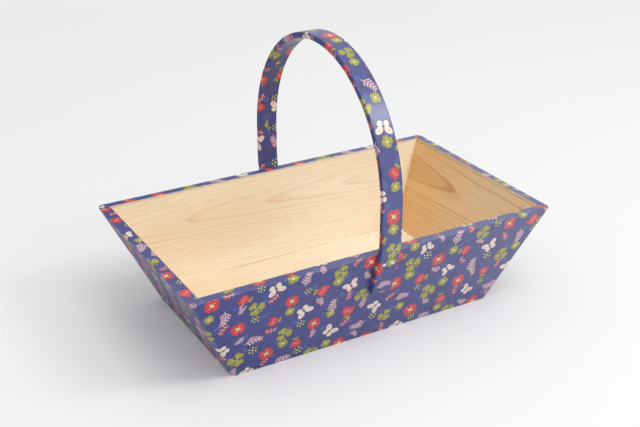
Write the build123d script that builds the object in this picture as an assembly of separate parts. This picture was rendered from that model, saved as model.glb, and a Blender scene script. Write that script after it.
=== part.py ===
from build123d import *
import math
import os

# A trug: five pine boards with printed coverings, and a bent wood handle across the middle.
# Millimetres, +X along the length, +Y to the back, +Z up.
# The origin is on the floor, under the middle of the basket.

# Basket, over its coverings
rim_length = 400.0
rim_width = 236.0
foot_length = 299.0
foot_width = 173.5
wall_height = 106.5
corner_radius = 6.5

# Boards and their printed sheets
board_thickness = 10.0
base_thickness = 14.6
cover_thickness = 0.4

# Handle, bent from one flat strip and wrapped all round in its sheet
strip_width = 21.0
strip_thickness = 5.2
foot_overlap = 47.2
bend_radius = 56.0
post_length = 32.3
arch_rise = 132.6

# Round nails that hold each foot of the handle to its side board
nail_spacing = 9.6
nail_drop = 9.4
nail_length = 12.0
nail_diameter = 1.8
nail_head_diameter = 4.2
nail_head_height = 1.0
nail_tip_length = 2.0

# Flat brads that hold the boards together, sunk under the coverings
brad_length = 22.0
brad_diameter = 1.3
brad_head_diameter = 2.4
brad_head_thickness = 0.6
brad_tip_length = 1.6
corner_brad_depth = 8.3
corner_brad_height_shares = (0.3, 0.57, 0.84)
side_brad_place_shares = (-0.55, 0.0, 0.55)
end_brad_place_shares = (-0.5, 0.5)

# How far a cutting block runs past what it cuts
overrun = 5.0

# Leans of the walls, worked out from the sizes above
side_slope = (rim_width - foot_width) / 2 / wall_height
end_slope = (rim_length - foot_length) / 2 / wall_height
side_lean = math.atan(side_slope)
end_lean = math.atan(end_slope)
wall_depth = cover_thickness + board_thickness
base_top = cover_thickness + base_thickness
board_top = wall_height - cover_thickness

# Handle sizes that follow
handle_width = strip_width + 2 * cover_thickness
handle_thickness = strip_thickness + 2 * cover_thickness
bend_centre_y = rim_width / 2 - bend_radius * math.cos(side_lean)
bend_centre_z = wall_height + bend_radius * math.sin(side_lean)
arch_half_width = bend_centre_y + bend_radius + handle_thickness
spring_height = bend_centre_z + post_length


def half_width_at(height, depth):
    """Half the basket's width at a height, on the plane that lies `depth` inside the long walls."""
    return foot_width / 2 + height * side_slope - depth / math.cos(side_lean)


def half_length_at(height, depth):
    """Half the basket's length at a height, on the plane that lies `depth` inside the ends."""
    return foot_length / 2 + height * end_slope - depth / math.cos(end_lean)


def tapered_prism(plane, low_half, high_half, low, high, reach):
    """An upright trapezium on a plane, run out by its reach to both sides."""
    corners = [(-low_half, low), (low_half, low), (high_half, high), (-high_half, high)]
    return extrude(plane * make_face(Polyline(*corners, close=True)), reach, both=True)


def tapered_block(end_depth, side_depth, low, high):
    """A block between two heights whose four leaning faces lie a depth inside the basket's own."""
    lengths = [half_length_at(height, end_depth) for height in (low, high)]
    widths = [half_width_at(height, side_depth) for height in (low, high)]
    across = tapered_prism(Plane.YZ, *widths, low, high, max(lengths) + overrun)
    along = tapered_prism(Plane.XZ, *lengths, low, high, max(widths) + overrun)
    return across & along


def rounded_block(depth, low, high):
    """The same block with its four leaning corners rounded about the corners of the basket."""
    block = tapered_block(depth, depth, low, high)
    corners = block.edges().filter_by(Plane.XY, reverse=True)
    return fillet(corners, corner_radius - depth)


def split_pair(part, axis):
    """The two solids that a cut left, the one on the minus side of the axis first."""
    return part.solids().sort_by(axis)


def nail_body(profile):
    """A turned nail with its head's seat at the origin and its point down."""
    return revolve(Plane.XZ * make_face(profile), Axis.Z)


def shank_points(diameter, length, tip_length):
    """The side of a nail from its neck down to its point, half the profile."""
    radius = diameter / 2
    return [(radius, 0), (radius, tip_length - length), (0, -length)]


def handle_nail():
    """A nail with a low domed head that stands on the handle's surface."""
    head_radius = nail_head_diameter / 2
    dome_radius = (head_radius**2 + nail_head_height**2) / (2 * nail_head_height)
    dome_angle = math.degrees(math.asin(head_radius / dome_radius))
    dome_centre = (0, nail_head_height - dome_radius)
    dome = CenterArc(dome_centre, dome_radius, 90 - dome_angle, dome_angle)
    side = shank_points(nail_diameter, nail_length, nail_tip_length)
    rest = Polyline((head_radius, 0), *side, (0, nail_head_height))
    return nail_body(dome + rest)


def brad():
    """A headed brad whose flat head lies just under the board's face."""
    head_radius = brad_head_diameter / 2
    shank = shank_points(brad_diameter, brad_length, brad_tip_length)
    neck = (brad_diameter / 2, -brad_head_thickness)
    head = [(0, 0), (head_radius, 0), (head_radius, -brad_head_thickness), neck]
    return nail_body(Polyline(*head, *shank[1:], (0, 0)))


def side_normal(side):
    """The direction straight out of a long wall: side is -1 at the front and 1 at the back."""
    return Vector(0, side * math.cos(side_lean), -math.sin(side_lean))


def end_normal(end):
    """The direction straight out of an end: end is -1 at the left and 1 at the right."""
    return Vector(end * math.cos(end_lean), 0, -math.sin(end_lean))


def corner_brads(side, end):
    """A row of brads up one corner, through the side board into the edge of the end board."""
    brads = []
    for share in corner_brad_height_shares:
        height = share * wall_height
        middle = height + brad_length / 2 * math.sin(side_lean)
        across = end * half_length_at(middle, corner_brad_depth)
        place = Vector(across, side * half_width_at(height, cover_thickness), height)
        brads.append(Plane(place, z_dir=side_normal(side)) * brad())
    return brads


def side_base_brads(side):
    """Brads through a long wall into the edge of the base."""
    brads = []
    height = cover_thickness + base_thickness / 2 - brad_length / 2 * math.sin(side_lean)
    for share in side_brad_place_shares:
        across = share * foot_length / 2
        place = Vector(across, side * half_width_at(height, cover_thickness), height)
        brads.append(Plane(place, z_dir=side_normal(side)) * brad())
    return brads


def end_base_brads(end):
    """Brads through an end into the edge of the base."""
    brads = []
    height = cover_thickness + base_thickness / 2 - brad_length / 2 * math.sin(end_lean)
    for share in end_brad_place_shares:
        across = share * foot_width / 2
        place = Vector(end * half_length_at(height, cover_thickness), across, height)
        brads.append(Plane(place, z_dir=end_normal(end)) * brad())
    return brads


def handle_nails(side):
    """The two nails side by side on one foot of the handle."""
    nails = []
    up_slope = Vector(0, side * math.sin(side_lean), math.cos(side_lean))
    rim = Vector(0, side * rim_width / 2, wall_height)
    for hand in (-1, 1):
        across = Vector(hand * nail_spacing / 2, 0, 0)
        place = rim + across - up_slope * nail_drop + side_normal(side) * handle_thickness
        nails.append(Plane(place, z_dir=side_normal(side)) * handle_nail())
    return nails


def handle_curve(depth, overlap):
    """Half of the handle's curve `depth` inside its outer face, from a foot up to the crown.

    The foot runs straight up the wall to the rim. A bend turns it upright, a short post
    follows, and a quarter of an ellipse closes the arch.
    """
    radius = bend_radius + handle_thickness - depth
    bend_centre = Vector(bend_centre_y, bend_centre_z)
    out = Vector(math.cos(side_lean), -math.sin(side_lean))
    up_slope = Vector(math.sin(side_lean), math.cos(side_lean))
    bend_start = bend_centre + out * radius
    foot = bend_start - up_slope * overlap
    leg = Line(foot, bend_start)
    lean = math.degrees(side_lean)
    bend = CenterArc(bend_centre, radius, -lean, lean)
    half_width = arch_half_width - depth
    post = Line((half_width, bend_centre_z), (half_width, spring_height))
    rise = arch_rise - depth
    arch = EllipticalCenterArc((0, spring_height), half_width, rise, 0, arc_size=90)
    return leg + bend + post + arch


def handle_band(outer_depth, inner_depth, overlap, width):
    """A flat bent band between two depths of the handle, with square feet."""
    outer = handle_curve(outer_depth, overlap)
    inner = handle_curve(inner_depth, overlap)
    foot_end = Line(outer @ 0, inner @ 0)
    half = outer + inner + foot_end
    outline = half + mirror(half, Plane.YZ)
    face = make_face(outline.edges())
    return extrude(Plane.YZ * face, width / 2, both=True)


# Solid shapes that the boards and sheets are cut from
whole = rounded_block(0, 0, wall_height)
base_sheet = split(whole, Plane.XY.offset(cover_thickness), Keep.BOTTOM)
upper = split(whole, Plane.XY.offset(cover_thickness), Keep.TOP)
board_block = rounded_block(cover_thickness, cover_thickness, board_top)
between_sides = tapered_block(-overrun, wall_depth, -overrun, wall_height + overrun)
between_ends = tapered_block(wall_depth, -overrun, -overrun, wall_height + overrun)
inside = between_sides & between_ends
skin = upper - board_block - inside

# Boards: the sides run the full length, the ends and the base fit between them
front_board, back_board = split_pair(board_block - between_sides, Axis.Y)
left_board, right_board = split_pair((board_block & between_sides) - between_ends, Axis.X)
base_board = tapered_block(wall_depth, wall_depth, cover_thickness, base_top)

# Sheets: each long side's sheet laps round the corners, each end's fills the rest
front_sheet, back_sheet = split_pair(skin - between_sides, Axis.Y)
left_sheet, right_sheet = split_pair(skin & between_sides, Axis.X)

# Handle strip and the sheet wrapped round it
strip_inner_depth = handle_thickness - cover_thickness
strip_overlap = foot_overlap - cover_thickness
strip = handle_band(cover_thickness, strip_inner_depth, strip_overlap, strip_width)
handle_sheet = handle_band(0, handle_thickness, foot_overlap, handle_width) - strip

# Nails and brads
front_nails = handle_nails(-1)
back_nails = handle_nails(1)
front_corner_brads = corner_brads(-1, -1) + corner_brads(-1, 1)
back_corner_brads = corner_brads(1, -1) + corner_brads(1, 1)
left_corner_brads = corner_brads(-1, -1) + corner_brads(1, -1)
right_corner_brads = corner_brads(-1, 1) + corner_brads(1, 1)

# Each nail and brad fills its own hole in what it passes through
front_board = front_board - front_corner_brads - side_base_brads(-1) - front_nails
back_board = back_board - back_corner_brads - side_base_brads(1) - back_nails
left_board = left_board - left_corner_brads - end_base_brads(-1)
right_board = right_board - right_corner_brads - end_base_brads(1)
base_board = base_board - side_base_brads(-1) - side_base_brads(1)
base_board = base_board - end_base_brads(-1) - end_base_brads(1)
front_sheet = front_sheet - front_nails
back_sheet = back_sheet - back_nails
strip = strip - front_nails - back_nails
handle_sheet = handle_sheet - front_nails - back_nails

nodes = {
    "base_board": base_board,
    "front_side_board": front_board,
    "back_side_board": back_board,
    "left_end_board": left_board,
    "right_end_board": right_board,
    "front_covering": front_sheet,
    "back_covering": back_sheet,
    "left_end_covering": left_sheet,
    "right_end_covering": right_sheet,
    "base_covering": base_sheet,
    "handle_strip": strip,
    "handle_covering": handle_sheet,
    "front_handle_nails": Compound(front_nails),
    "back_handle_nails": Compound(back_nails),
    "front_left_corner_brads": Compound(corner_brads(-1, -1)),
    "front_right_corner_brads": Compound(corner_brads(-1, 1)),
    "back_left_corner_brads": Compound(corner_brads(1, -1)),
    "back_right_corner_brads": Compound(corner_brads(1, 1)),
    "front_base_brads": Compound(side_base_brads(-1)),
    "back_base_brads": Compound(side_base_brads(1)),
    "left_base_brads": Compound(end_base_brads(-1)),
    "right_base_brads": Compound(end_base_brads(1)),
}

os.makedirs("parts", exist_ok=True)
for name, shape in nodes.items():
    export_step(shape, f"parts/{name}.step")
    box = shape.bounding_box()
    print(name, len(shape.solids()), "solids", round(shape.volume), box.min, box.max)
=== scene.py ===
import math

import bmesh
import bpy
import numpy as np
from mathutils import Matrix, Vector


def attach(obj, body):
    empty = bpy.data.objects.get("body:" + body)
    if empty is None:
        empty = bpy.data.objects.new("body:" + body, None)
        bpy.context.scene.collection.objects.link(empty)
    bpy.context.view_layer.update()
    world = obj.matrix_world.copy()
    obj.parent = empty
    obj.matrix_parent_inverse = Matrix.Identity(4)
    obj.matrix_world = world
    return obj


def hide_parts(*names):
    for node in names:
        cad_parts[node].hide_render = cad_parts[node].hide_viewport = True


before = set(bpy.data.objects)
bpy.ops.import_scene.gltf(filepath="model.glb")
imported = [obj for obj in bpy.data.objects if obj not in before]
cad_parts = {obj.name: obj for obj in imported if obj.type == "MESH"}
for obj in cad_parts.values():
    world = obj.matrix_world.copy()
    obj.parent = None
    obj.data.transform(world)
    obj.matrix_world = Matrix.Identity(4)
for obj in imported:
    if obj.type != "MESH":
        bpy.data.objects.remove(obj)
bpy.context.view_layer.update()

# The viewpoint. The trug is seen past its front left corner, from a little over a metre away
# and looking down by about 25 degrees. The frame is level and has no shift.
view_turn = math.radians(-30.05)
view_rise = math.radians(25.46)
view_distance = 1.1445
view_aim = Vector((0, 0, 0.05325))
aim_to_right = -0.0037
aim_upward = 0.0408

toward_camera = Vector((
    math.sin(view_turn) * math.cos(view_rise),
    -math.cos(view_turn) * math.cos(view_rise),
    math.sin(view_rise),
))
camera_right = Vector((math.cos(view_turn), math.sin(view_turn), 0))
camera_up = toward_camera.cross(camera_right)
camera_data = bpy.data.cameras.new("photo_camera")
camera_data.sensor_width = 36
camera_data.lens = 61.84
camera_data.clip_end = 60
camera = bpy.data.objects.new("photo_camera", camera_data)
bpy.context.scene.collection.objects.link(camera)
across_and_up = camera_right * aim_to_right + camera_up * aim_upward
camera_place = view_aim + across_and_up + toward_camera * view_distance
camera_turned = Matrix((camera_right, camera_up, toward_camera)).transposed().to_4x4()
camera.matrix_world = Matrix.Translation(camera_place) @ camera_turned
bpy.context.scene.camera = camera
bpy.context.scene.view_settings.view_transform = "Standard"


# The studio. A wide round floor of matt white paper lies in a white surround. One broad soft
# lamp stands at the front right and another hangs high in front. Together they throw the soft
# shadow at the left.
class Shade:
    """One socket of a material, used like a number: arithmetic on it adds Math nodes."""

    def __init__(self, tree, socket=None):
        self.tree = tree
        self.socket = socket

    def make(self, kind, settings=None, inputs=None, output=0):
        """Adds any node: its settings first, then the values or links of its sockets."""
        node = self.tree.nodes.new(kind)
        for key, value in (settings or {}).items():
            setattr(node, key, value)
        for key, value in (inputs or {}).items():
            if isinstance(value, Shade):
                self.tree.links.new(value.socket, node.inputs[key])
            else:
                node.inputs[key].default_value = value
        return Shade(self.tree, node.outputs[output] if node.outputs else None)

    def math(self, operation, *others, clamp=False):
        """Adds a Math node that takes this socket first and then the others."""
        settings = {"operation": operation, "use_clamp": clamp}
        return self.make("ShaderNodeMath", settings, dict(enumerate((self, *others))))

    def __getitem__(self, output):
        return Shade(self.tree, self.socket.node.outputs[output])

    def __add__(self, other):
        return self.math("ADD", other)

    def __sub__(self, other):
        return self.math("SUBTRACT", other)

    def __rsub__(self, other):
        return self.make("ShaderNodeMath", {"operation": "SUBTRACT"}, {0: other, 1: self})

    def __mul__(self, other):
        return self.math("MULTIPLY", other)

    def __truediv__(self, other):
        return self.math("DIVIDE", other)

    def __pow__(self, other):
        return self.math("POWER", other)

    def __mod__(self, other):
        return self.math("FLOORED_MODULO", other)

    def __abs__(self):
        return self.math("ABSOLUTE")

    __radd__ = __add__
    __rmul__ = __mul__


def colour_between(amount, first, second):
    """The first colour where the amount is 0, the second where it is 1.

    The Mix node keeps its two colours at sockets 6 and 7 and gives the mixed one at output 2.
    """
    inputs = {"Factor": amount, 6: first, 7: second}
    return amount.make("ShaderNodeMix", {"data_type": "RGBA"}, inputs, output=2)


def cloud(point, scale=1.0, detail=2.0, roughness=0.5):
    """Soft noise from 0 to 1 about a half."""
    inputs = {"Vector": point, "Scale": scale, "Detail": detail, "Roughness": roughness}
    return point.make("ShaderNodeTexNoise", None, inputs)


def smooth_step(value, low, high):
    """Eases from 0 to 1 as the value goes from low to high."""
    settings = {"interpolation_type": "SMOOTHSTEP"}
    inputs = {"Value": value, "From Min": low, "From Max": high}
    return value.make("ShaderNodeMapRange", settings, inputs)


def length_of(x, y):
    """How far a point at x, y is from the middle."""
    return (x * x + y * y).math("SQRT")


def start_material(name):
    """A new empty material, and a first socket in it to build from."""
    material = bpy.data.materials.new(name)
    material.use_nodes = True
    material.node_tree.nodes.clear()
    return material, Shade(material.node_tree)


def bumped(height, strength, distance):
    """The normal of a bumpy surface: its height from 0 to 1, times a distance in metres."""
    inputs = {"Strength": strength, "Distance": distance, "Height": height}
    return height.make("ShaderNodeBump", None, inputs)


def put_in_scene(name, mesh, material):
    """An object at the origin that shows the mesh with the material."""
    piece = bpy.data.objects.new(name, mesh)
    bpy.context.scene.collection.objects.link(piece)
    mesh.materials.append(material)
    return piece


def surface_mesh(name, places, layouts):
    """A mesh over a grid of places, rows by columns by x, y and z in millimetres.

    Each square of the grid is one face, wound so that its columns crossed with its rows point
    outward. Points that fall together are merged, which closes poles and seams. The layouts
    are named flat coordinates of the same grid, in millimetres.
    """
    rows, columns = places.shape[:2]
    index = np.arange(rows * columns).reshape(rows, columns)
    corners = (index[:-1, :-1], index[:-1, 1:], index[1:, 1:], index[1:, :-1])
    faces = np.stack([corner.ravel() for corner in corners], axis=-1)
    mesh = bpy.data.meshes.new(name)
    mesh.from_pydata((places.reshape(-1, 3) * 0.001).tolist(), [], faces.tolist())
    for layout, flat in layouts.items():
        layer = mesh.uv_layers.new(name=layout)
        flat_corners = flat.reshape(-1, 2)[faces.ravel()] * 0.001
        layer.data.foreach_set("uv", flat_corners.ravel())
    mesh.polygons.foreach_set("use_smooth", np.ones(len(faces), dtype=bool))
    shape = bmesh.new()
    shape.from_mesh(mesh)
    bmesh.ops.remove_doubles(shape, verts=shape.verts, dist=2e-6)
    bmesh.ops.dissolve_degenerate(shape, edges=shape.edges, dist=1e-7)
    shape.to_mesh(mesh)
    shape.free()
    return mesh


# x = reach cos(angle), y = reach sin(angle), z = 0, with the rings packed toward the middle
floor_radius = 9.0
floor_angle = np.linspace(0, 2 * np.pi, 129)[None, :]
floor_reach = floor_radius * np.linspace(0, 1, 25)[:, None] ** 1.5
floor_places = np.stack(
    [
        floor_reach * np.cos(floor_angle) * 1000,
        floor_reach * np.sin(floor_angle) * 1000,
        0 * floor_reach * floor_angle,
    ],
    axis=-1,
)
floor_paper, start = start_material("floor_paper")
floor_point = start.make("ShaderNodeTexCoord")["Object"]
floor_tone = cloud(floor_point, 0.9, detail=3.0)
floor_tooth = cloud(floor_point, 900.0)
dim_paper = (0.885, 0.888, 0.9, 1)
bright_paper = (0.915, 0.916, 0.925, 1)
floor_face = start.make("ShaderNodeBsdfPrincipled", None, {
    "Base Color": colour_between(floor_tone, dim_paper, bright_paper),
    "Roughness": 0.9,
    "Specular IOR Level": 0.1,
    "Normal": bumped(floor_tooth, strength=0.15, distance=0.0002),
})
# Seen from the camera the paper glows a little, more so far away, until it meets the surround.
surround_tone = (0.9, 0.9, 0.91, 1)
glow_near = 0.08
glow_grows_from = 0.6
glow_full_by = 3.0
floor_parts = start.make("ShaderNodeSeparateXYZ", None, {0: floor_point})
floor_away = length_of(floor_parts["X"], floor_parts["Y"])
floor_glow = start.make("ShaderNodeEmission", None, {"Color": surround_tone, "Strength": 1.0})
floor_share = glow_near + smooth_step(floor_away, glow_grows_from, glow_full_by) * (1 - glow_near)
floor_seen = start.make("ShaderNodeLightPath")["Is Camera Ray"] * floor_share
floor_look = start.make("ShaderNodeMixShader", None, {0: floor_seen, 1: floor_face, 2: floor_glow})
start.make("ShaderNodeOutputMaterial", None, {"Surface": floor_look})
floor = put_in_scene("studio_floor", surface_mesh("studio_floor", floor_places, {}), floor_paper)

# The surround looks nearly white. Its light comes from overhead and, more weakly, from the
# front: none comes from low at the left or the back.
light_from_above = 1.0
light_from_front = 0.5
surround = bpy.data.worlds.new("white_surround")
surround.use_nodes = True
surround.node_tree.nodes.clear()
sky = Shade(surround.node_tree)
ray = sky.make("ShaderNodeLightPath")
seen = ray["Is Camera Ray"].math("MAXIMUM", ray["Is Glossy Ray"])
seen = seen.math("MAXIMUM", ray["Is Transmission Ray"])
direction = sky.make("ShaderNodeSeparateXYZ", None, {0: sky.make("ShaderNodeTexCoord")["Generated"]})
above = direction["Z"].math("MAXIMUM", 0.0)
front = (direction["Y"] * -1.0).math("MAXIMUM", 0.0)
sky_light = sky.make("ShaderNodeBackground", None, {
    "Color": (1, 0.995, 0.985, 1),
    "Strength": above * light_from_above + front * light_from_front,
})
sky_look = sky.make("ShaderNodeBackground", None, {"Color": surround_tone, "Strength": 1.0})
sky_mix = sky.make("ShaderNodeMixShader", None, {0: seen, 1: sky_light, 2: sky_look})
sky.make("ShaderNodeOutputWorld", None, {"Surface": sky_mix})
bpy.context.scene.world = surround


lamp_aim = Vector((0, 0, 0.05))


def soft_lamp(name, place, size, power):
    """A square soft lamp at a place, turned to face the middle of the basket."""
    lamp_data = bpy.data.lights.new(name, "AREA")
    lamp_data.shape = "SQUARE"
    lamp_data.size = size
    lamp_data.energy = power
    lamp = bpy.data.objects.new(name, lamp_data)
    bpy.context.scene.collection.objects.link(lamp)
    lamp.location = place
    lamp.rotation_euler = (lamp_aim - Vector(place)).to_track_quat("-Z", "Y").to_euler()


soft_lamp("front_lamp", place=(1.3, -1.35, 1.8), size=0.68, power=14)
soft_lamp("high_lamp", place=(0.2, -0.9, 2.45), size=1.2, power=10.5)


# The five boards. Each is a plank of sanded, unvarnished pine sawn flat, so its growth rings
# come out as long lines and pointed arches. The four walls lean out and are nailed together.
rim_height = 106.5
side_slope = 0.29343
end_slope = 0.47418
side_hypotenuse = math.hypot(1, side_slope)
end_hypotenuse = math.hypot(1, end_slope)
foot_half_width = 86.75
foot_half_length = 149.5
board_thickness = 10.0
paper_thickness = 0.4
wall_depth = board_thickness + paper_thickness
base_top = 15.0
joint_over_base = 0.3
side_joint = (rim_height - base_top) * side_hypotenuse - joint_over_base
end_joint = (rim_height - base_top) * end_hypotenuse - joint_over_base


def half_width(height, depth):
    """Half the trug's width at a height, on the plane that lies a depth inside its long walls."""
    return foot_half_width + height * side_slope - depth * side_hypotenuse


def half_length(height, depth):
    """Half the trug's length at a height, on the plane that lies a depth inside its ends."""
    return foot_half_length + height * end_slope - depth * end_hypotenuse


def distance_along(point, corner, direction):
    """How far a point lies from a corner along a direction, in millimetres."""
    reach = [1000 * share for share in direction]
    shift = sum(share * place for share, place in zip(direction, corner))
    dotted = point.make(
        "ShaderNodeVectorMath", {"operation": "DOT_PRODUCT"}, {0: point, 1: reach}
    )["Value"]
    return dotted - shift


def ink(red, green, blue):
    """A colour given as it looks on a screen, from 0 to 255, as the linear one of a shader."""
    shares = np.array((red, green, blue)) / 255
    linear = np.where(shares > 0.04045, ((shares + 0.055) / 1.055) ** 2.4, shares / 12.92)
    return (*linear.tolist(), 1)


def surfaced(start, inputs):
    """Ends a material with one Principled surface."""
    face = start.make("ShaderNodeBsdfPrincipled", None, inputs)
    start.make("ShaderNodeOutputMaterial", None, {"Surface": face})


def stretched(place, *scales):
    """A place's parts, each times its own scale, as one point for long or thin noise."""
    parts = {number: part * scale for number, (part, scale) in enumerate(zip(place, scales))}
    return place[0].make("ShaderNodeCombineXYZ", None, parts)


def pine(
    name, corner, along, down, heart, rings, clear, colours, yellowing_and_sheen, stain_and_shadow, joint_down, painted_edge_shade
):
    """Flat-sawn pine on a board whose grain runs along one direction.

    A growth ring is all that lies at one distance from the tree's heart, which runs nearly
    along the board: the root of the squares of how far a point lies across the board from the
    heart and how far below the board the heart is there. Where the heart comes slowly nearer,
    the rings close in arches. Each ring darkens slowly, then stops sharply, and holds two
    fainter, broken lines. Some years' rings are darker than others'. Between the two clear
    distances from the heart, and well inside the first, the lines hardly show, and they are
    faint near the board's upper edge. The wood yellows in random patches and is a little
    mottled, and a steady gradient along and down the board, paler one way, is a painted sheen.
    One place on it is darkened: a real stain on most boards, and on the back board a painted
    shadow of the handle. A thin dark line, broken here and there, runs along the joint where
    a wall meets the base. A painted shade darkens the inner face just under its top edge.
    """
    heart_down, heart_below, heart_tilt, deepest = heart
    ring_width, line_sharpness, line_strength, wander, year_start = rings
    clear_low, clear_high, faint_above, faint_by = clear
    yellow_at_start, sheen_along, sheen_down = yellowing_and_sheen
    pale, deep, late = colours
    dark_patch_along, dark_patch_down, dark_patch_reach, dark_patch_strength = stain_and_shadow
    material, start = start_material(name)
    point = start.make("ShaderNodeTexCoord")["Object"]
    run = distance_along(point, corner, along)
    fall = distance_along(point, corner, down)
    through = distance_along(point, corner, Vector(along).cross(Vector(down)))
    grain = (run, fall, through)
    slow = stretched(grain, 0.011, 0.035, 0.02)
    quick = stretched(grain, 0.05, 0.16, 0.1)
    bend = (cloud(slow, detail=1.0) - 0.5) * wander + (cloud(quick) - 0.5) * (wander * 0.22)
    below = (run * heart_tilt + through + heart_below).math("SMOOTH_MIN", deepest, 3.0)
    from_heart = length_of(fall - heart_down + bend, below)
    share = from_heart / ring_width % 1.0
    closing = 1 - 0.8 / line_sharpness
    line = share**line_sharpness * (1 - smooth_step(share, closing, 1.0))
    half_share = (share * 2.0 + 0.35) % 1.0
    faint_line = half_share**9.0 * (1 - smooth_step(half_share, 0.85, 1.0))
    fibre = cloud(stretched(grain, 0.035, 2.2, 2.2), detail=4.0, roughness=0.6)
    streak = cloud(stretched(grain, 0.012, 0.3, 0.3), detail=3.0)
    patch = cloud(slow, 2.4, detail=3.0)
    mottle = cloud(quick, 1.6, detail=3.0)
    past_low = smooth_step(from_heart, clear_low - 1.5, clear_low)
    plain = past_low * (1 - smooth_step(from_heart, clear_high - 1.5, clear_high))
    core = 1 - smooth_step(from_heart, clear_low - 4.2, clear_low - 3)
    hidden = plain.math("MAXIMUM", core) * 0.85
    hidden = hidden.math("MAXIMUM", (1 - smooth_step(fall, faint_above - 3, faint_above)) * faint_by)
    golden_share = 0.618
    year = ((from_heart / ring_width).math("FLOOR") * golden_share + year_start) % 1.0
    line_here = line * line_strength * (0.2 + streak * 0.7 + year * 0.8) * (1 - hidden)
    faint_here = faint_line * line_strength * smooth_step(streak, 0.35, 0.65) * (1 - hidden)
    line_here = line_here + faint_here * 0.4
    # A darkened patch: a real stain on most boards, and on the back board a painted shadow of the
    # handle.
    dark_patch_out = (run - dark_patch_along) / dark_patch_reach
    dark_patch_off = (fall - dark_patch_down) / (dark_patch_reach * 0.35)
    dark_patch_far = dark_patch_out**2.0 + dark_patch_off**2.0
    stained_and_shaded = (1 - smooth_step(dark_patch_far, 0.0, 1.0)) * dark_patch_strength
    # Random patches of yellowing, plus a steady gradient along and down the board that is a painted
    # sheen: the board pales where it would catch a reflection.
    yellow_and_sheen = patch * 0.5 + run * sheen_along + fall * sheen_down + (yellow_at_start - 0.25)
    ground = colour_between(smooth_step(yellow_and_sheen, 0.0, 1.0), pale, deep)
    ground = colour_between(core * 0.25, ground, late)
    grained = colour_between(line_here.math("MINIMUM", 0.9), ground, late)
    fibred = colour_between(
        (fibre - 0.5) * 0.6 + (mottle - 0.5) * 0.3 + streak * 0.12, grained, late
    )
    colour = colour_between(stained_and_shaded, fibred, late)
    dash = smooth_step(cloud(stretched(grain, 0.35, 3.2, 3.2), detail=0.0), 0.79, 0.86)
    colour = colour_between(dash * 0.35, colour, ink(120, 78, 44))
    # A thin dark line, broken here and there, runs along the joint where a wall meets the base.
    joint = (1 - smooth_step(abs(fall - joint_down), 0.15, 0.55)) * smooth_step(streak, 0.48, 0.6)
    colour = colour_between(joint * 0.5, colour, ink(96, 66, 40))
    # Painted shade: the inner face darkens just under its top edge, where the rim's trimmed paper and
    # the arris would shade it.
    edge_shade_here = (1 - smooth_step(fall, 0.3, 2.6)) * painted_edge_shade
    colour = colour_between(edge_shade_here, colour, ink(146, 104, 68))
    height = line * -0.5 + fibre * 0.6 + dash * -0.6
    surfaced(start, {
        "Base Color": colour,
        "Roughness": 0.52 + fibre * 0.16 - line * 0.08,
        "Specular IOR Level": 0.35,
        "Normal": bumped(height, strength=0.35, distance=0.00012),
    })
    return material


inner_side = half_width(rim_height, wall_depth)
inner_end = half_length(rim_height, wall_depth)
pale_pine = (ink(250, 240, 218), ink(241, 219, 184), ink(206, 164, 112))
honey_pine = (ink(240, 211, 171), ink(236, 193, 134), ink(190, 124, 56))

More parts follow.
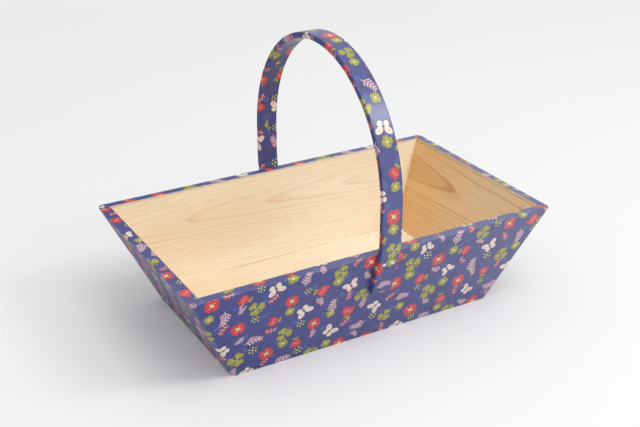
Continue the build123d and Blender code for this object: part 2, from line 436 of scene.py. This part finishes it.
boards = {
    "back_side_board": pine(
        "pine_back",
        corner=(0, inner_side, rim_height),
        along=(1, 0, 0),
        down=(0, -side_slope / side_hypotenuse, -1 / side_hypotenuse),
        heart=(31.0, 20.4, -0.031, 60.0),
        rings=(3.0, 8.0, 0.85, 5.0, 0.25),
        clear=(-9.0, -9.0, 34.0, 0.3),
        colours=pale_pine,
        # The back board's tone pales toward its foot: a painted sheen.
        yellowing_and_sheen=(0.54, 0.0, -0.005),
        # This dark patch is a painted shadow of the handle.
        stain_and_shadow=(-65.0, 45.0, 120.0, 0.24),
        joint_down=side_joint,
        painted_edge_shade=0.25,
    ),
    "front_side_board": pine(
        "pine_front",
        corner=(0, -inner_side, rim_height),
        along=(1, 0, 0),
        down=(0, side_slope / side_hypotenuse, -1 / side_hypotenuse),
        heart=(60.0, 22.0, 0.028, 60.0),
        rings=(3.4, 7.0, 0.5, 6.0, 0.25),
        clear=(-9.0, -9.0, 20.0, 0.5),
        colours=pale_pine,
        yellowing_and_sheen=(0.6, 0.001, -0.002),
        stain_and_shadow=(120.0, 40.0, 50.0, 0.1),
        joint_down=side_joint,
        painted_edge_shade=0.25,
    ),
    "right_end_board": pine(
        "pine_right",
        corner=(inner_end, 0, rim_height),
        along=(0, 1, 0),
        down=(-end_slope / end_hypotenuse, 0, -1 / end_hypotenuse),
        heart=(30.5, 20.3, -0.06, 21.5),
        rings=(3.33, 2.7, 0.97, 4.4, 0.85),
        clear=(21.5, 28.5, 9.2, 0.9),
        colours=honey_pine,
        # The right board's tone pales toward the front: a painted sheen.
        yellowing_and_sheen=(0.38, 0.006, 0.001),
        stain_and_shadow=(20.0, 34.0, 30.0, 0.17),
        joint_down=end_joint,
        painted_edge_shade=0.5,
    ),
    "left_end_board": pine(
        "pine_left",
        corner=(-inner_end, 0, rim_height),
        along=(0, 1, 0),
        down=(end_slope / end_hypotenuse, 0, -1 / end_hypotenuse),
        heart=(70.0, 16.0, 0.03, 60.0),
        rings=(3.6, 5.0, 0.6, 4.0, 0.25),
        clear=(-9.0, -9.0, 14.0, 0.6),
        colours=honey_pine,
        yellowing_and_sheen=(0.5, -0.003, 0.001),
        stain_and_shadow=(-40.0, 60.0, 20.0, 0.2),
        joint_down=end_joint,
        painted_edge_shade=0.3,
    ),
    "base_board": pine(
        "pine_base",
        corner=(0, 0, base_top),
        along=(1, 0, 0),
        down=(0, -1, 0),
        heart=(-20.0, 40.0, 0.02, 90.0),
        rings=(3.6, 7.0, 0.25, 7.0, 0.25),
        clear=(-9.0, -9.0, -99.0, 0.0),
        colours=pale_pine,
        yellowing_and_sheen=(0.5, -0.002, 0.0),
        stain_and_shadow=(60.0, 30.0, 50.0, 0.08),
        joint_down=-99.0,
        painted_edge_shade=0.0,
    ),
}
for board, wood in boards.items():
    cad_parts[board].material_slots[0].material = wood


# The wall coverings. Printed paper is pasted over each wall, folded over the rim and trimmed
# by hand along its inner edge, then varnished. The long sides' sheets go on first and lap
# round the corners. The ends' sheets fill what is left between them.
corner_round = 6.2
outer_fold = 1.2
trim_wander = 0.4
sheet_bottom = 0.45
sheet_thickness = 0.36


def inked(distance, soft=0.4):
    """Ink inside an outline: 1 where the distance to it is below zero, with a soft edge."""
    return distance.math("MULTIPLY_ADD", -1 / soft, 0.5, clamp=True)


def folded_round(x, y, count):
    """Folds the plane like a paper star: all the sectors round the middle land on one.

    The new x points out along the sector's middle line, and the new y is the distance
    from that line.
    """
    sector = 2 * math.pi / count
    turn = y.math("ARCTAN2", x) % sector - sector / 2
    far = length_of(x, y)
    return far * turn.math("COSINE"), abs(far * turn.math("SINE"))


def tulip(x, y):
    """A cup with three points on a short stalk, with a row of dashes and one leaf."""
    cup = (length_of(x / 4.4, (y - 1.2) / 5.0) - 1) * 4.4
    points = abs((x + 1.5) % 3.0 - 1.5)
    cup = cup.math("MAXIMUM", y + points * 1.5 - 5.0)
    dashes = (abs(abs(x) % 1.5 - 0.75) - 0.2).math("MAXIMUM", abs(y + 0.12 * x * x - 0.6) - 1.0)
    dashes = dashes.math("MAXIMUM", abs(x) - 2.6)
    stalk = (abs(x) - 0.34).math("MAXIMUM", abs(y + 5.2) - 2.0)
    leaf = length_of((x - 4.5 - y * 0.5) / 2.5, y + 4.8) - 1
    green = stalk.math("MINIMUM", leaf)
    return ((green, "olive"), (cup, "red"), (dashes, "pink"))


def clover(x, y):
    """Three heart-shaped leaves with pale middle ribs, and a stalk between two of them."""
    out, off = folded_round(x, y, 3)
    leaf = length_of(out - 4.0, off - 1.3) - 2.15
    leaf = leaf.math("MINIMUM", (off - 0.62 * out).math("MAXIMUM", out - 4.0))
    rib = (off - 0.4 + 0.09 * out).math("MAXIMUM", abs(out - 2.6) - 1.8)
    stalk = (abs(y) - 0.3).math("MAXIMUM", abs(x - 3.4) - 3.4)
    return ((stalk, "olive"), (leaf, "olive"), (rib, "lime"))


def butterfly(x, y):
    """Two pairs of rounded wings, a spot on each large wing, and a thin dark body."""
    out = abs(x)
    upper = length_of((out - 3.2) / 1.15, (y - 1.9 - 0.35 * (out - 3.2)) / 0.95) - 2.5
    lower = length_of(out - 2.3, y + 2.3) - 2.0
    wings = upper.math("MINIMUM", lower)
    spot = length_of(out - 3.7, y - 2.2) - 0.85
    body = (out - 0.35).math("MAXIMUM", abs(y - 0.1) - 3.1)
    return ((wings, "cream"), (spot, "pink"), (body, "navy"))


def blossom(x, y, petals="red"):
    """Four notched petals round an eye with a ring of small dots."""
    out, off = folded_round(x, y, 4)
    petal = length_of(out - 3.7, off - 1.0) - 1.95
    petal = petal.math("MINIMUM", (off - 0.8 * out).math("MAXIMUM", out - 3.6))
    middle = length_of(x, y) - 1.5
    stamen = length_of(out - 2.5, off) - 0.38
    return ((petal, petals), (middle, "lime"), (stamen, "cream"))


def small_blossom(x, y):
    """The same flower with green petals."""
    return blossom(x, y, "olive")


def berries(x, y):
    """A bowed stalk with pairs of round berries on short stems."""
    side = abs(x + 0.04 * y * y - 0.5)
    step = (y + 1.9) % 3.8 - 1.9
    berry = (length_of(side - 2.3, step) - 1.35).math("MAXIMUM", abs(y) - 5.6)
    stem = (abs(step + 0.35 * side - 0.8) - 0.2).math("MAXIMUM", side - 2.1)
    stem = stem.math("MINIMUM", side - 0.3).math("MAXIMUM", abs(y) - 6.2)
    shine = (length_of(side - 2.0, step - 0.5) - 0.36).math("MAXIMUM", abs(y) - 5.6)
    return ((stem, "cream"), (berry, "red"), (shine, "pink"))


def fern(x, y):
    """A bowed stalk with pairs of pointed leaflets that slant upward and shorten to the tip."""
    side = abs(x - 0.035 * y * y + 0.4)
    slanted = y - 0.7 * side
    step = (slanted + 1.25) % 2.5 - 1.25
    out = side * (1.25 + 0.1 * y)
    leaflet = abs(step) - 0.85 + 0.19 * (out - 2.1) ** 2.0
    leaflet = leaflet.math("MAXIMUM", abs(slanted + 0.3) - 5.2)
    stalk = (side - 0.24).math("MAXIMUM", abs(y + 0.6) - 6.2)
    return ((leaflet, "pink"), (stalk, "cream"))


def dot_ring(x, y):
    """Six oval dots round a round one, each with a dark rim."""
    out, off = folded_round(x, y, 6)
    dot = length_of((out - 3.7) / 1.25, off) - 0.8
    dot = dot.math("MINIMUM", length_of(x, y) - 1.1)
    return ((dot - 0.55, "navy"), (dot, "lime"))


print_colours = {
    "ground": ink(51, 61, 139),
    "shade": ink(45, 53, 121),
    "red": ink(204, 44, 56),
    "olive": ink(158, 154, 44),
    "lime": ink(216, 214, 132),
    "pink": ink(230, 178, 184),
    "cream": ink(234, 216, 202),
    "navy": ink(38, 42, 84),
    "sky": ink(104, 148, 216),
    "maroon": ink(128, 52, 96),
    "paper": ink(226, 220, 208),
}


def staggered_spot(across, up, width, height):
    """The nearest spot of a staggered lattice: the way to it, its column and its row.

    Two plain lattices, the second shifted by half a step both ways, each fold the plane
    round their nearest spot. The nearer of the two spots is kept.
    """
    found = []
    for shift in (0.0, 0.5):
        column = (across / width - shift).math("ROUND")
        row = (up / (2 * height) - shift).math("ROUND")
        x = across - (column + shift) * width
        y = up - (row + shift) * (2 * height)
        found.append((x, y, column, row * 2.0 + 2 * shift))
    plain, shifted = found
    second = (length_of(*plain[:2]) - length_of(*shifted[:2])).math("GREATER_THAN", 0.0)
    return [one + second * (other - one) for one, other in zip(plain, shifted)]


def stamped(colour, across, up, motifs, lattice, steps, nudge, size):
    """Lays one motif on each spot of a lattice over the colour so far.

    Counting round short cycles from the spot's numbers chooses its motif, its turn, its size
    and its nudge, so the print repeats as a roller's does. A dark leaf lies on either side of
    the motif, partly under it.
    """
    x, y, column, row = staggered_spot(across, up, *lattice)
    kind = (column * steps[0] + row * steps[1]) % float(len(motifs))
    x = x - ((column * 3.0 + row * 5.0) % 4.0 - 1.5) * nudge
    y = y - ((column * 2.0 + row * 3.0) % 5.0 - 2.0) * nudge
    turn = (column * 2.0 + row * 3.0) % 5.0 * (2 * math.pi / 5) + row % 3.0 * 0.5
    scale = size * (1 - (column + row * 2.0) % 3.0 * 0.07)
    cosine, sine = turn.math("COSINE") / scale, turn.math("SINE") / scale
    x, y = x * cosine + y * sine, y * cosine - x * sine
    shadow = (length_of((abs(x) - 4.6) / 2.3, (y + 3.6) / 1.1) - 1) * 1.1
    colour = colour_between(inked(shadow) * 0.8, colour, print_colours["navy"])
    for number, motif in enumerate(motifs):
        here = kind.math("COMPARE", float(number), 0.1)
        for outline, name in motif(x, y):
            colour = colour_between(inked(outline) * here, colour, print_colours[name])
    return colour


def sprinkled(colour, across, up, width, height):
    """Lays a tiny cluster of dots or leaves in each gap of the lattices over the colour."""
    column = (across / width).math("FLOOR")
    row = (up / height).math("FLOOR")
    x = across - (column + 0.5) * width - ((column * 2.0 + row) % 3.0 - 1.0)
    y = up - (row + 0.5) * height - ((column + row * 2.0) % 3.0 - 1.0)
    out, off = folded_round(x, y, 5)
    dots = (length_of(out - 2.3, off) - 0.5).math("MINIMUM", length_of(x, y) - 0.5)
    out, off = folded_round(x, y, 3)
    leaves = (length_of((out - 2.0) / 2.1, off / 0.9) - 1) * 0.9
    clusters = ((dots, "sky"), (leaves, "navy"), (dots, "maroon"), (dots, "sky"), (leaves, "navy"))
    kind = (column + row * 2.0) % float(len(clusters))
    for number, (shape, name) in enumerate(clusters):
        here = kind.math("COMPARE", float(number), 0.1)
        colour = colour_between(inked(shape) * here, colour, print_colours[name])
    return colour


def small_print(across, up):
    """The printed pattern of large and small motifs, its distances in millimetres."""
    step, rise = 16.5, 20.5
    lattice = (2 * step, rise)
    small = (berries, dot_ring, small_blossom, fern)
    large = (tulip, clover, butterfly, blossom, fern)
    paper_place = across.make("ShaderNodeCombineXYZ", None, {0: across, 1: up})
    mottle = cloud(paper_place, 0.06, detail=4.0, roughness=0.6)
    colour = colour_between(mottle, print_colours["ground"], print_colours["shade"])
    colour = sprinkled(colour, across, up, step, rise)
    colour = stamped(
        colour, across - step, up - 0.35 * rise, small, lattice, steps=(1.0, 2.0), nudge=1.0, size=1.05
    )
    return stamped(colour, across, up, large, lattice, steps=(2.0, 1.0), nudge=1.3, size=1.48)


covering, start = start_material("varnished_printed_paper")
flat = start.make("ShaderNodeUVMap", {"uv_map": "paper"})
flat_parts = start.make("ShaderNodeSeparateXYZ", None, {0: flat})
edge = start.make("ShaderNodeUVMap", {"uv_map": "edges"})
edge_parts = start.make("ShaderNodeSeparateXYZ", None, {0: edge})
paper_across = flat_parts["X"] * 1000.0
paper_up = flat_parts["Y"] * 1000.0
from_fold = edge_parts["X"] * 1000.0
from_trim = edge_parts["Y"] * 1000.0
printed = small_print(paper_across, paper_up)
paper_point = start.make("ShaderNodeCombineXYZ", None, {0: paper_across, 1: paper_up})
tooth = cloud(paper_point, 2.4, detail=3.0)
brush = cloud(stretched((paper_across, paper_up), 0.06, 0.9), detail=3.0)
wrinkle = cloud(paper_point, 0.045)
faded = colour_between(tooth * 0.08, printed, print_colours["paper"])
# Along the rim's outer fold the print pales toward the bare paper in patches: partly wear, partly a
# painted highlight on the fold.
fold_wear_and_highlight_patches = smooth_step(cloud(paper_point, 0.13, detail=3.0), 0.35, 0.7)
fold_wear_and_highlight = (1 - smooth_step(from_fold, 0.1, 1.1)) * fold_wear_and_highlight_patches
worn_and_highlit = colour_between(fold_wear_and_highlight * 0.3, faded, print_colours["paper"])
torn = 1 - smooth_step(from_trim, 0.15, 0.4)
paper_colour = colour_between(torn * 0.8, worn_and_highlit, print_colours["paper"])

# The varnish lies thicker toward the right and the front, and on the rims and the ends. The
# handle's arch has a little less of it, and the strip's narrow edges have none.
covering_point = start.make("ShaderNodeTexCoord")["Object"]
covering_place = start.make("ShaderNodeSeparateXYZ", None, {0: covering_point})
from_middle = abs(covering_place["X"]) * 1000.0
over_floor = covering_place["Z"] * 1000.0
past_end = from_middle - over_floor * end_slope - foot_half_length
past_side = abs(covering_place["Y"]) * 1000.0 - over_floor * side_slope - foot_half_width
on_rim = smooth_step(over_floor, rim_height - 0.6, rim_height - 0.2)
on_arch = smooth_step(over_floor, rim_height + 1, rim_height + 8)
on_strip = on_arch.math("MAXIMUM", smooth_step(past_side, 0.5, 1.0))
on_flank = smooth_step(from_middle, 9.6, 10.5)
rim_or_end = smooth_step(past_end, -4.0, -1.0).math("MAXIMUM", on_rim)
toward_right_and_front = covering_place["X"] * 2.2 - covering_place["Y"] * 2.0
varnish = 0.35 + toward_right_and_front + rim_or_end * 0.3 - on_arch * 0.05
varnish = varnish.math("MULTIPLY", 1 - on_strip * on_flank, clamp=True)
varnish_height = wrinkle + brush * 0.05 + tooth * 0.02
surfaced(start, {
    "Base Color": paper_colour,
    "Roughness": 0.4 + tooth * 0.2,
    "Normal": bumped(varnish_height, strength=0.6, distance=0.0004),
    "Specular IOR Level": 0.15,
    "Coat Weight": varnish * (1 - torn * 0.7),
    "Coat Roughness": 0.3,
    "Coat IOR": 1.7,
})

# Up one wall and over its rim, row by row: how deep under the outer face the sheet lies
# before the rim, its height, and the share of the way over the rim that it has gone. The
# rows lie closer together near the sheet's lower edge and round the fold.
quarter = np.linspace(0, np.pi / 2, 9)
rim_rows = 14
wall_heights = np.concatenate([
    [sheet_bottom, sheet_bottom + 0.4],
    np.linspace(sheet_bottom + 1.5, rim_height - outer_fold - 1.5, 16),
    [rim_height - outer_fold - 0.4],
])
row_depth = np.concatenate([
    0 * wall_heights,
    outer_fold * (1 - np.cos(quarter)),
    np.full(rim_rows, outer_fold),
])
row_height_over_floor = np.concatenate([
    wall_heights,
    rim_height - outer_fold * (1 - np.sin(quarter)),
    np.full(rim_rows, rim_height),
])
row_over_rim = np.concatenate([
    np.zeros(len(row_depth) - rim_rows),
    np.linspace(0, 1, rim_rows + 1)[1:],
])


def hand_trim(across, seed):
    """How far a hand-cut edge strays, from -1 to 1: four waves of unlike lengths, added."""
    waves = np.array((41.0, 17.3, 7.9, 3.7))
    sizes = np.array((0.3, 0.3, 0.25, 0.15))
    phases = seed * np.array((1.0, 2.3, 3.1, 4.7))
    return (np.sin(across[..., None] * 2 * np.pi / waves + phases) * sizes).sum(axis=-1)


def wall_sheet(name, lapped, turned, reach, shift, seed):
    """One wall's sheet as a grid: columns go round the trug, rows up the wall and over the rim.

    A column stands at a share of the wall's straight run. Where the sheet is lapped it goes
    on round each corner on a quarter circle and a little way along the next wall. A row
    gives the wall's half sizes at its height and depth, so the grid leans, narrows and
    folds with the wall. Over the rim it goes in by its reach and strays with the hand trim,
    never past the board's inner edge. Round a corner the trim doesn't stray. A turned sheet
    is for the opposite wall. The flat layout is the length round and the length up the sheet,
    moved by the shift so that the walls don't show the same part of the print.
    """
    height = row_height_over_floor[:, None]
    seam = half_width(height, wall_depth)
    if lapped:
        run = np.linspace(-1, 1, 181)
        bends = np.linspace(0, np.pi / 2, 9)[1:]
        laps = np.array((0.35, 0.7, 1.0))
        corner_columns = np.ones(len(bends) + len(laps))
        past_corner = np.full(len(laps), np.pi / 2)
        share = np.concatenate([-corner_columns, run, corner_columns])
        turn = np.concatenate([past_corner, bends[::-1], 0 * run, bends, past_corner])
        lap = np.concatenate([laps[::-1], np.zeros(2 * len(bends) + len(run)), laps])
        outer_straight = half_length(height, 0) - corner_round
        outer_lap = half_width(height, 0) - corner_round - seam
        across = share * (outer_straight + corner_round * turn + lap * outer_lap)
        cut = share * outer_straight
    else:
        share = np.linspace(1, -1, 121)
        across = -seam * share
        cut = across
    over_rim = row_over_rim[:, None]
    stray = trim_wander * hand_trim(cut, seed) * over_rim**2
    depth = row_depth[:, None] + (reach - outer_fold) * over_rim + stray
    depth = np.minimum(depth, wall_depth - 0.05)
    side, end = half_width(height, depth), half_length(height, depth)
    if lapped:
        round_off = np.maximum(corner_round - depth, 0)
        straight = end - round_off
        to_seam = np.maximum(side - round_off - seam, 0)
        x = share * (straight + round_off * np.sin(turn))
        y = -(side - round_off) - round_off * np.cos(turn) + lap * to_seam
    else:
        x = -end
        y = -across
    middle = x.shape[1] // 2
    profile = np.stack([x, y, height + 0 * x], axis=-1)[:, middle]
    steps = np.linalg.norm(np.diff(profile, axis=0), axis=-1)
    up = np.concatenate([[0.0], np.cumsum(steps)])
    facing = -1 if turned else 1
    places = np.stack([x * facing, y * facing, height + 0 * x], axis=-1)
    paper = np.stack([across + shift[0], up[:, None] + shift[1] + 0 * across], axis=-1)
    fold = np.hypot(depth, rim_height - height)
    from_end = (up[-1] - up)[:, None] + 0 * across
    edges = np.stack([fold, from_end], axis=-1)
    mesh = surface_mesh(name, places, {"paper": paper, "edges": edges})
    piece = put_in_scene(name, mesh, covering)
    solid = piece.modifiers.new("paper thickness", "SOLIDIFY")
    solid.thickness = sheet_thickness * 0.001
    solid.offset = -1
    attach(piece, "root")
    return piece


front_paper = wall_sheet("front_paper", lapped=True, turned=False, reach=10.3, shift=(0, 0), seed=1.0)
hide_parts("front_covering")
back_paper = wall_sheet("back_paper", lapped=True, turned=True, reach=9.2, shift=(31, 47), seed=2.0)
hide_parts("back_covering")
left_paper = wall_sheet("left_paper", lapped=False, turned=False, reach=10.3, shift=(57, 24), seed=3.0)
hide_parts("left_end_covering")
right_paper = wall_sheet("right_paper", lapped=False, turned=True, reach=7.8, shift=(83, 71), seed=4.0)
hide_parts("right_end_covering")


# The base covering. One flat sheet of the same paper is pasted under the base and trimmed
# just inside its edge.
base_inset = 0.5
base_trim_wander = 0.3
base_sheet_bottom = 0.02
base_sheet_thickness = 0.3
base_print_shift = (9, 133)
far_from_folds = 9
least_from_trim = 0.3
base_rings = np.linspace(0, 1, 13)[:, None]
base_turn = np.linspace(0, 2 * np.pi, 321)[None, :]


def rounded_rectangle(turn, half_x, half_y, power=14.0):
    """A rounded rectangle as a superellipse: the reach at each turn is the inverse power sum
    of the shares of its two half sizes.
    """
    cosine, sine = np.abs(np.cos(turn)) / half_x, np.abs(np.sin(turn)) / half_y
    return (cosine**power + sine**power) ** (-1 / power)


# x = share of the edge's reach times cos(turn), y = the same share times sin(turn)
base_reach = rounded_rectangle(base_turn, foot_half_length - base_inset, foot_half_width - base_inset)
base_edge = base_reach + base_trim_wander * hand_trim(base_turn * base_reach, 5.0)
base_x = base_rings * base_edge * np.cos(base_turn)
base_y = base_rings * base_edge * np.sin(base_turn)
base_places = np.stack([base_x, base_y, base_sheet_bottom + 0 * base_x], axis=-1)
base_layout = np.stack([base_x + base_print_shift[0], base_y + base_print_shift[1]], axis=-1)
base_from_trim = (1 - base_rings) * base_edge + least_from_trim
base_edges = np.stack([far_from_folds + 0 * base_x, base_from_trim], axis=-1)
base_mesh = surface_mesh("base_paper", base_places, {"paper": base_layout, "edges": base_edges})
base_paper = put_in_scene("base_paper", base_mesh, covering)
base_solid = base_paper.modifiers.new("paper thickness", "SOLIDIFY")
base_solid.thickness = base_sheet_thickness * 0.001
base_solid.offset = -1
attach(base_paper, "root")
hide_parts("base_covering")


# The handle. One thin strip of pine is steamed and bent over the trug's middle, and paper is
# wrapped all round it with its seam down the middle of the inner face.
strip_print_shift = (5, 31)
strip_half_width = 10.87
strip_half_thickness = 2.98
strip_round = 1.15
foot_overlap = 47.1
bend_radius = 61.97
side_lean = math.atan(side_slope)
bend_centre = (64.265, 122.267)
arch_half_width = 126.235
post_length = 32.3
arch_rise = 132.6
spring_height = bend_centre[1] + post_length


def handle_half():
    """Half of the handle's outer face, from a foot to the crown, with the way in from it.

    The foot runs up the wall in a straight line, a bend turns it upright on a circle, a short
    post follows, and a quarter of an ellipse closes the arch.
    """
    foot = np.linspace(foot_overlap, 0, 16)[:-1]
    out = np.array((math.cos(side_lean), -math.sin(side_lean)))
    slope = np.array((math.sin(side_lean), math.cos(side_lean)))
    bend = np.linspace(-side_lean, 0, 9)[:-1]
    post = np.linspace(0, post_length, 9)[:-1]
    arch = np.linspace(0, np.pi / 2, 61)
    start_of_bend = np.array(bend_centre) + out * bend_radius
    outer = np.concatenate([
        start_of_bend - foot[:, None] * slope,
        np.array(bend_centre) + bend_radius * np.stack([np.cos(bend), np.sin(bend)], axis=-1),
        np.stack([arch_half_width + 0 * post, bend_centre[1] + post], axis=-1),
        np.stack([arch_half_width * np.cos(arch), spring_height + arch_rise * np.sin(arch)], axis=-1),
    ])
    inward = np.concatenate([
        -out + 0 * foot[:, None],
        -np.stack([np.cos(bend), np.sin(bend)], axis=-1),
        np.stack([-1 + 0 * post, 0 * post], axis=-1),
        -np.stack([np.cos(arch), np.sin(arch)], axis=-1),
    ])
    return outer, inward


half_outer, half_inward = handle_half()
mirror_over = np.array((-1, 1))
outer_line = np.concatenate([half_outer * mirror_over, half_outer[-2::-1]])
inward_line = np.concatenate([half_inward * mirror_over, half_inward[-2::-1]])
line_steps = np.linalg.norm(np.diff(outer_line, axis=0), axis=-1)
along_line = np.concatenate([[0.0], np.cumsum(line_steps)])
line_way = np.gradient(outer_line, axis=0)
line_way /= np.linalg.norm(line_way, axis=-1, keepdims=True)

# The strip's feet are cut square with softened edges: the section shrinks by an inset while
# it closes in on the foot's end, and then closes to a line.
cap_turn = np.linspace(0, np.pi / 2, 6)
cap_inset = np.concatenate([[strip_half_thickness], strip_round * (1 - np.sin(cap_turn[:-1]))])
cap_back = np.concatenate([[0.0], strip_round * (1 - np.cos(cap_turn[:-1]))])
inset = np.concatenate([cap_inset, 0 * along_line, cap_inset[::-1]])
station = np.concatenate([
    np.zeros(len(cap_inset), dtype=int),
    np.arange(len(along_line)),
    np.full(len(cap_inset), len(along_line) - 1),
])
ahead = np.concatenate([cap_back, 0 * along_line, -cap_back[::-1]])
ahead[len(cap_inset)] = strip_round
ahead[-len(cap_inset) - 1] = -strip_round

# Round the section from the inner face's middle: a straight run or a quarter circle at a time.
section_turn = np.linspace(0, np.pi / 2, 6)
section_parts = (
    (np.linspace(0, -1, 12)[:-1], -1, -np.pi / 2),
    (-1, -1, -np.pi / 2 - section_turn[:-1]),
    (-1, np.linspace(-1, 1, 5)[:-1], -np.pi),
    (-1, 1, -np.pi - section_turn[:-1]),
    (np.linspace(-1, 1, 23)[:-1], 1, -3 * np.pi / 2),
    (1, 1, -3 * np.pi / 2 - section_turn[:-1]),
    (1, np.linspace(1, -1, 5)[:-1], -2 * np.pi),
    (1, -1, -2 * np.pi - section_turn[:-1]),
    (np.linspace(1, 0, 12), -1, -5 * np.pi / 2),
)
section_columns = [np.broadcast_arrays(*part) for part in section_parts]
run_across, run_thick, face_turn = (np.concatenate(column) for column in zip(*section_columns))
inset_here = inset[:, None]
round_here = np.maximum(strip_round - inset_here, 0)
flat_across = strip_half_width - inset_here - round_here
flat_thick = strip_half_thickness - inset_here - round_here
across_strip = run_across * flat_across + round_here * np.cos(face_turn)
through_strip = run_thick * flat_thick + round_here * np.sin(face_turn)
depth_under = strip_half_thickness - through_strip
line_place = outer_line[station] + line_way[station] * ahead[:, None]
strip_y = line_place[:, 0, None] + inward_line[station][:, 0, None] * depth_under
strip_z = line_place[:, 1, None] + inward_line[station][:, 1, None] * depth_under
strip_places = np.stack([across_strip, strip_y, strip_z], axis=-1)
middle_row = len(station) // 2
section_line = np.stack([across_strip[middle_row], through_strip[middle_row]], axis=-1)
section_steps = np.linalg.norm(np.diff(section_line, axis=0), axis=-1)
round_section = np.concatenate([[0.0], np.cumsum(section_steps)])[None, :] + 0 * across_strip
along_strip = (along_line[station] + ahead)[:, None] + 0 * across_strip
strip_layout = np.stack(
    [round_section + strip_print_shift[0], along_strip + strip_print_shift[1]], axis=-1
)
strip_fold = np.hypot(
    np.abs(across_strip) - strip_half_width, np.abs(through_strip) - strip_half_thickness
)
strip_edges = np.stack([strip_fold, round_section + least_from_trim], axis=-1)
strip_mesh = surface_mesh("handle_paper", strip_places, {"paper": strip_layout, "edges": strip_edges})
handle_paper = put_in_scene("handle_paper", strip_mesh, covering)
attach(handle_paper, "root")
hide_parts("handle_covering")
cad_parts["handle_strip"].material_slots[0].material = boards["front_side_board"]


# The nails and brads. Two bright round-headed steel nails hold each foot of the handle, and
# thin brads under the paper hold the boards together.
steel, start = start_material("bright_steel")
steel_point = start.make("ShaderNodeTexCoord")["Object"]
steel_mottle = cloud(steel_point, 600.0, detail=3.0)
steel_pits = smooth_step(cloud(steel_point, 2200.0), 0.6, 0.75)
steel_colour = colour_between(steel_mottle, ink(244, 243, 240), ink(214, 212, 208))
steel_colour = colour_between(steel_pits * 0.5, steel_colour, ink(120, 112, 104))
surfaced(start, {
    "Base Color": steel_colour,
    "Metallic": 1 - steel_pits * 0.3,
    "Roughness": 0.24 + steel_mottle * 0.2,
    "Normal": bumped(steel_mottle - steel_pits, strength=0.4, distance=0.00005),
})
for name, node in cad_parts.items():
    if name.endswith("nails") or name.endswith("brads"):
        node.material_slots[0].material = steel
